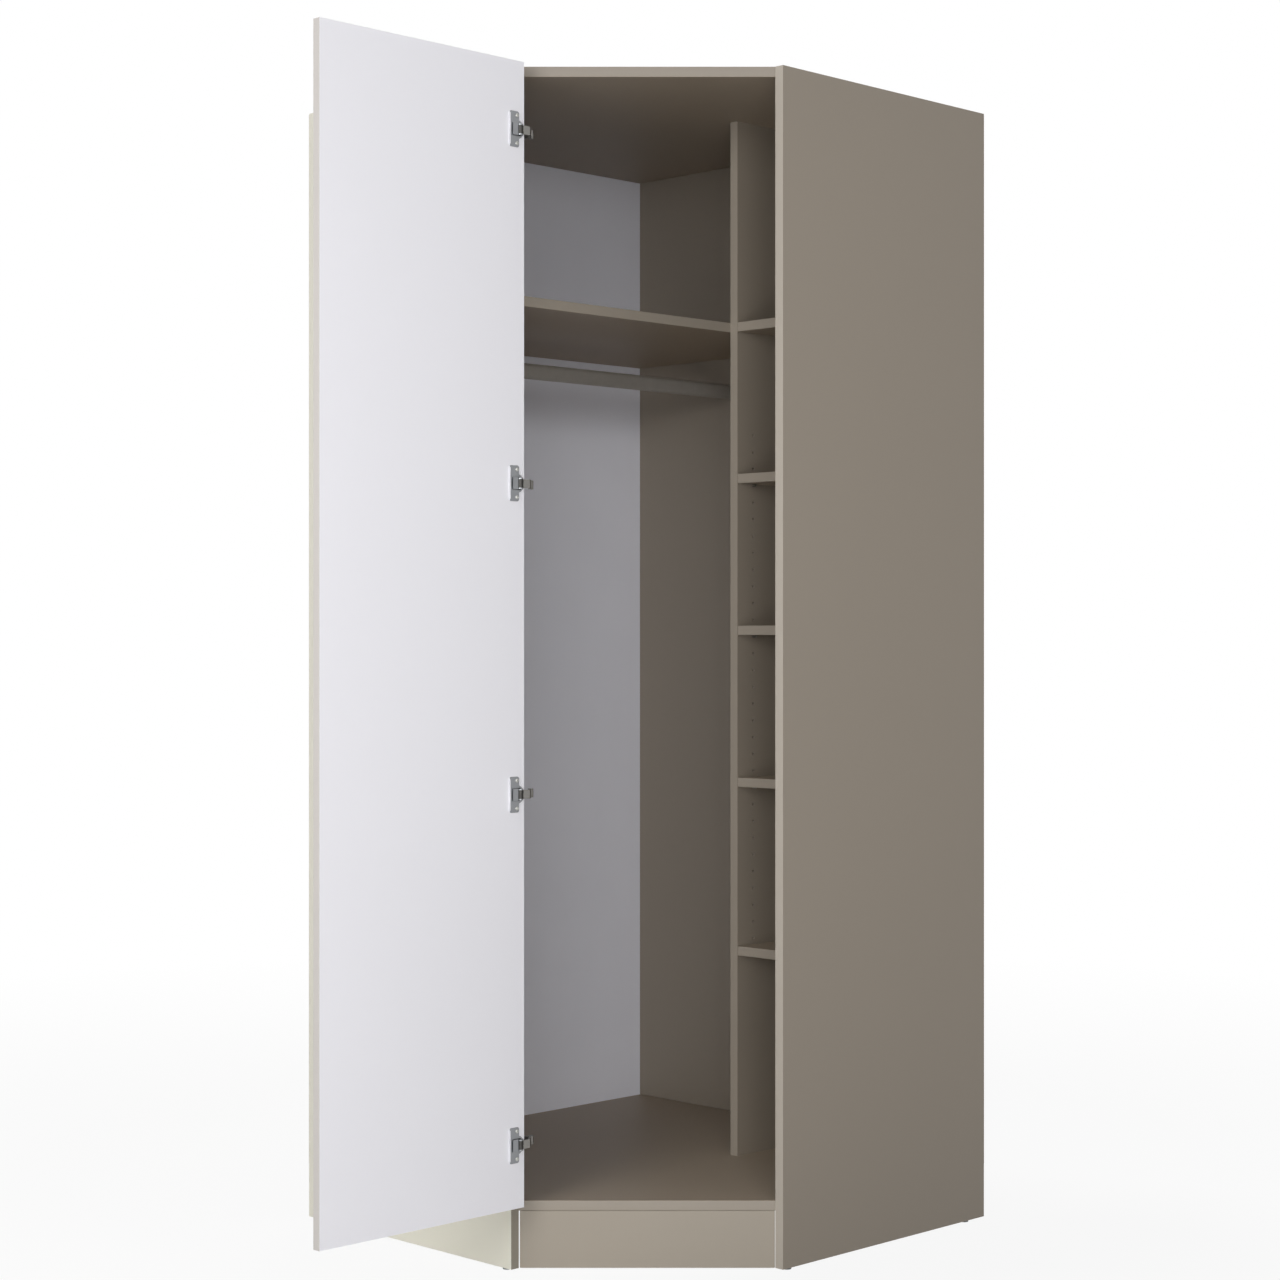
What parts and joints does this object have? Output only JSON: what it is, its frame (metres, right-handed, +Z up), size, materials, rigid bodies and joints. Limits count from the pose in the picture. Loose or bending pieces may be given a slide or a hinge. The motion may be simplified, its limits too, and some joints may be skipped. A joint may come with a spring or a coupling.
{
  "type": "corner wardrobe",
  "caption": "Corner wardrobe with a diagonal front, a swinging door on wide-angle hinges, a hat shelf, a clothes rail and a bay of small shelves beside a divider.",
  "frame": {"origin": "floor point below the room corner, where the rear edges of the two side boards' walls meet", "axes": "+X along one wall to the right side board, -Y along the other wall to the left side board, +Z up"},
  "size_m": [0.912, 1.3603, 2.103],
  "materials": {
    "taupe_board": "matt melamine-faced board",
    "cream_board": "matt melamine-faced board, cream outside and taupe inside",
    "white_board": "satin white lacquer",
    "white_sheet": "white-faced hardboard",
    "taupe_sheet": "printed hardboard",
    "hinge_nickel": "satin nickel plate",
    "screw_steel": "zinc plate",
    "pin_steel": "plain steel",
    "rail_metal": "satin anodised tube",
    "grey_plastic": "moulded",
    "dark_plastic": "moulded"
  },
  "bodies": {
    "carcass": {"left_side_panel": "cream_board", "right_side_panel": "taupe_board", "top_panel": "taupe_board", "bottom_panel": "taupe_board", "plinth_board": "taupe_board", "left_back_sheet": "white_sheet", "right_back_board": "taupe_board", "bay_back_sheet": "taupe_sheet", "divider_panel": "taupe_board", "hat_shelf": "taupe_board", "small_shelf_1": "taupe_board", "small_shelf_2": "taupe_board", "small_shelf_3": "taupe_board", "small_shelf_4": "taupe_board", "small_shelf_5": "taupe_board", "shelf_pins": "pin_steel", "clothes_rail": "rail_metal", "left_rail_socket": "grey_plastic", "right_rail_socket": "grey_plastic", "floor_glides": "grey_plastic", "rear_corner_leg": "dark_plastic", "hinge_plate_1": "hinge_nickel", "hinge_plate_2": "hinge_nickel", "hinge_plate_3": "hinge_nickel", "hinge_plate_4": "hinge_nickel", "hinge_arm_1": "hinge_nickel", "hinge_arm_2": "hinge_nickel", "hinge_arm_3": "hinge_nickel", "hinge_arm_4": "hinge_nickel", "hinge_arm_pins": "pin_steel", "hinge_plate_screws": "screw_steel"},
    "inner_links": {"hinge_inner_link_1": "hinge_nickel", "hinge_inner_link_2": "hinge_nickel", "hinge_inner_link_3": "hinge_nickel", "hinge_inner_link_4": "hinge_nickel"},
    "outer_links": {"hinge_outer_link_1": "hinge_nickel", "hinge_outer_link_2": "hinge_nickel", "hinge_outer_link_3": "hinge_nickel", "hinge_outer_link_4": "hinge_nickel", "hinge_elbow_pins": "pin_steel"},
    "door": {"door_leaf": "white_board", "hinge_cup_1": "hinge_nickel", "hinge_cup_2": "hinge_nickel", "hinge_cup_3": "hinge_nickel", "hinge_cup_4": "hinge_nickel", "hinge_cup_pins": "pin_steel", "hinge_cup_screws": "screw_steel"}
  },
  "joints": [
    {"name": "inner_link_turn", "type": "hinge", "parent": "carcass", "child": "inner_links", "pos_m": [0.556, -0.875, 1], "axis": [0, 0, 1], "range_deg": [0, 96]},
    {"name": "elbow_turn", "type": "hinge", "parent": "inner_links", "child": "outer_links", "pos_m": [0.595, -0.882, 1], "axis": [0, 0, 1], "range_deg": [-96, 0]},
    {"name": "door_swing", "type": "hinge", "parent": "outer_links", "child": "door", "pos_m": [0.616, -0.9253, 1], "axis": [0, 0, 1], "range_deg": [0, 135.43]}
  ],
  "couplings": [
    {"joint": "inner_link_turn", "follows": "door_swing", "ratio": 0.6801},
    {"joint": "elbow_turn", "follows": "door_swing", "ratio": -0.68326}
  ]
}
